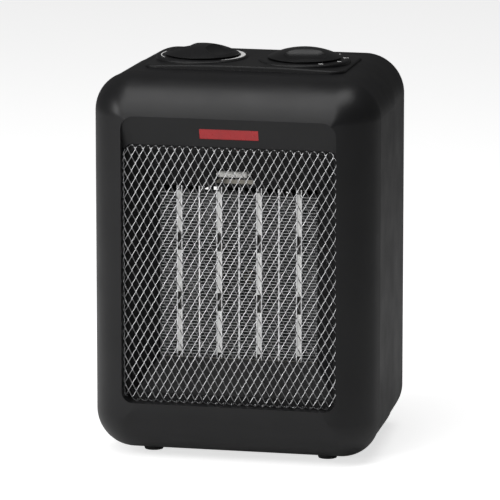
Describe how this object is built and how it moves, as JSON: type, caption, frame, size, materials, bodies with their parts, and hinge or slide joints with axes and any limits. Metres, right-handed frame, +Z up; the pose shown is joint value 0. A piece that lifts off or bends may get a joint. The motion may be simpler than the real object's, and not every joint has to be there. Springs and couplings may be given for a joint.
{
  "type": "ceramic fan heater",
  "caption": "Compact upright ceramic fan heater: rounded black casing, diamond-mesh outlet grille, red indicator window and two round dials on top",
  "frame": {"origin": "middle of the base, on the surface that the feet stand on", "axes": "+Z up, the front with the grille faces -Y, +X to the viewer's right as they face the grille"},
  "size_m": [0.188, 0.1458, 0.2628],
  "materials": {
    "bezel": "satin black moulding",
    "housing": "fine satin black moulding",
    "panel": "fine satin black moulding",
    "knob": "satin black moulding",
    "rubber": "matt",
    "mesh": "bright plated wire",
    "inner_plastic": "heat-resistant black moulding",
    "lens": "translucent red",
    "lamp": "clear glass",
    "insulator": "off-white insulator",
    "aluminium": "mill finish",
    "ceramic": "fired, matt",
    "dark_insulator": "dark polyimide",
    "electrode": "bright",
    "sleeve": "white glass-fibre sleeving",
    "steel": "zinc plated",
    "laminations": "stacked steel sheets",
    "copper": "enamelled copper winding",
    "bronze": "sintered bronze",
    "phenolic": "brown phenolic",
    "brass": "plain",
    "spring": "spring wire"
  },
  "bodies": {
    "heater_body": {"front_bezel": "bezel", "middle_housing": "housing", "rear_cover": "housing", "control_panel": "panel", "rubber_feet": "rubber", "front_grille": "mesh", "grille_retainer": "inner_plastic", "indicator_lens": "lens", "indicator_lamp": "lamp", "lamp_holder": "inner_plastic", "outlet_duct": "inner_plastic", "heater_frame": "inner_plastic", "ptc_end_bars": "insulator", "ptc_fins": "aluminium", "ptc_stones": "ceramic", "ptc_spacers": "dark_insulator", "ptc_electrodes": "electrode", "ptc_dividers": "electrode", "thermal_fuse": "sleeve", "thermal_cutoff": "phenolic", "heater_frame_screws": "steel", "fan_shroud": "inner_plastic", "shroud_screws": "steel", "motor_stator": "laminations", "motor_coil": "copper", "motor_brackets": "steel", "motor_bearings": "bronze", "motor_grommets": "rubber", "motor_screws": "steel", "thermostat_body": "phenolic", "thermostat_bimetal": "brass", "selector_body": "phenolic", "control_nuts": "steel", "panel_screws": "steel", "tip_guide": "inner_plastic", "tip_spring": "spring", "tip_microswitch": "phenolic", "terminal_block": "insulator", "cord_bushing": "rubber", "bezel_screws": "steel", "rear_cover_screws": "steel"},
    "fan": {"fan_blades": "inner_plastic", "fan_nut": "brass", "motor_shaft": "steel", "motor_rotor": "laminations"},
    "thermostat_dial": {"thermostat_knob": "knob", "thermostat_shaft": "steel"},
    "selector_dial": {"selector_knob": "knob", "selector_shaft": "steel"},
    "plunger": {"tip_plunger": "insulator"},
    "switch_lever": {"tip_lever": "steel"}
  },
  "joints": [
    {"name": "fan_spin", "type": "hinge", "parent": "heater_body", "child": "fan", "pos_m": [0, 0.002, 0.12], "axis": [0, 1, 0], "continuous": true},
    {"name": "thermostat_turn", "type": "hinge", "parent": "heater_body", "child": "thermostat_dial", "pos_m": [-0.034, 0.006, 0.2541], "axis": [0, 0, 1], "range_deg": [-300, 0]},
    {"name": "selector_turn", "type": "hinge", "parent": "heater_body", "child": "selector_dial", "pos_m": [0.034, 0.006, 0.2541], "axis": [0, 0, 1], "range_deg": [-68, 34]},
    {"name": "plunger_slide", "type": "slide", "parent": "heater_body", "child": "plunger", "axis": [0, 0, 1], "range_m": [-0.004, 0], "stiffness_N_per_m": 60, "springref_m": -0.006, "deforming": ["tip_spring"]},
    {"name": "lever_pivot", "type": "hinge", "parent": "heater_body", "child": "switch_lever", "pos_m": [0, -0.014, 0.0404], "axis": [1, 0, 0], "range_deg": [-17, 0]}
  ],
  "couplings": [
    {"joint": "lever_pivot", "follows": "plunger_slide", "rad_per_m": 59}
  ]
}
